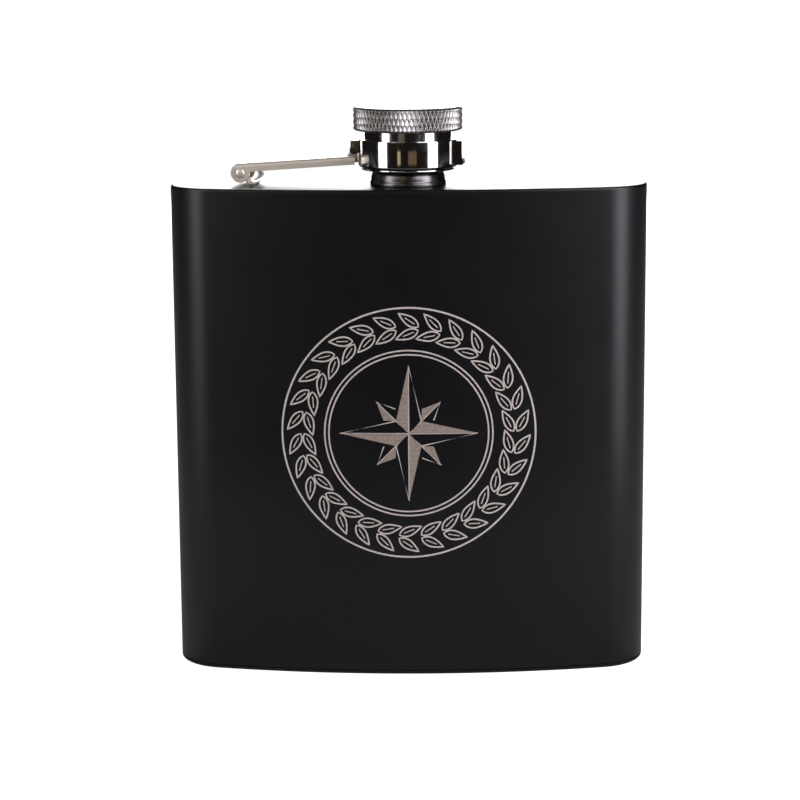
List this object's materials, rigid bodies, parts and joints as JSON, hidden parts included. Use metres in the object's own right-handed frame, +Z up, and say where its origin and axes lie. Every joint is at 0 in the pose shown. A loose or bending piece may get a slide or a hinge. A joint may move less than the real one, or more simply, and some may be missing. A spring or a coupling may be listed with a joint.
{
  "type": "hip flask",
  "caption": "Curved metal hip flask with a short neck and a knurled screw cap held in a collar on a hinged arm.",
  "frame": {"origin": "under the middle of the flask at its base", "axes": "+Z up through the cap, the bulging front faces -Y, the hinge is on the -X side"},
  "size_m": [0.092, 0.0266, 0.1096],
  "materials": {
    "black_coat": "matte black powder coat on stainless steel",
    "neck_steel": "polished stainless steel",
    "hinge_steel": "polished stainless steel, warm",
    "collar_steel": "bright polished stainless steel",
    "cap_steel": "turned stainless steel with a diamond knurl on the rim",
    "seal_plastic": "plain white sealing disc",
    "engraving": "bare steel laser-engraved through the black coat"
  },
  "bodies": {
    "flask": {"body_shell": "black_coat", "bottom_plate": "black_coat", "top_plate": "black_coat", "neck": "neck_steel", "hinge_bracket": "hinge_steel", "bracket_pin": "hinge_steel"},
    "arm": {"hinge_arm": "hinge_steel"},
    "collar": {"collar_ring": "collar_steel", "collar_pin": "collar_steel"},
    "cap": {"cap_head": "cap_steel", "cap_barrel": "cap_steel", "cap_seal": "seal_plastic"}
  },
  "joints": [
    {"name": "arm_swing", "type": "hinge", "parent": "flask", "child": "arm", "pos_m": [-0.03204, 0.00115, 0.09685], "axis": [-0.0983, -0.9952, 0], "range_deg": [0, 110]},
    {"name": "collar_tilt", "type": "hinge", "parent": "arm", "child": "collar", "pos_m": [-0.01005, -0.00103, 0.1013], "axis": [-0.0983, -0.9952, 0], "range_deg": [0, 90]},
    {"name": "cap_turn", "type": "hinge", "parent": "collar", "child": "cap", "pos_m": [0, -0.00202, 0.1056], "axis": [0, 0, 1], "continuous": true}
  ]
}
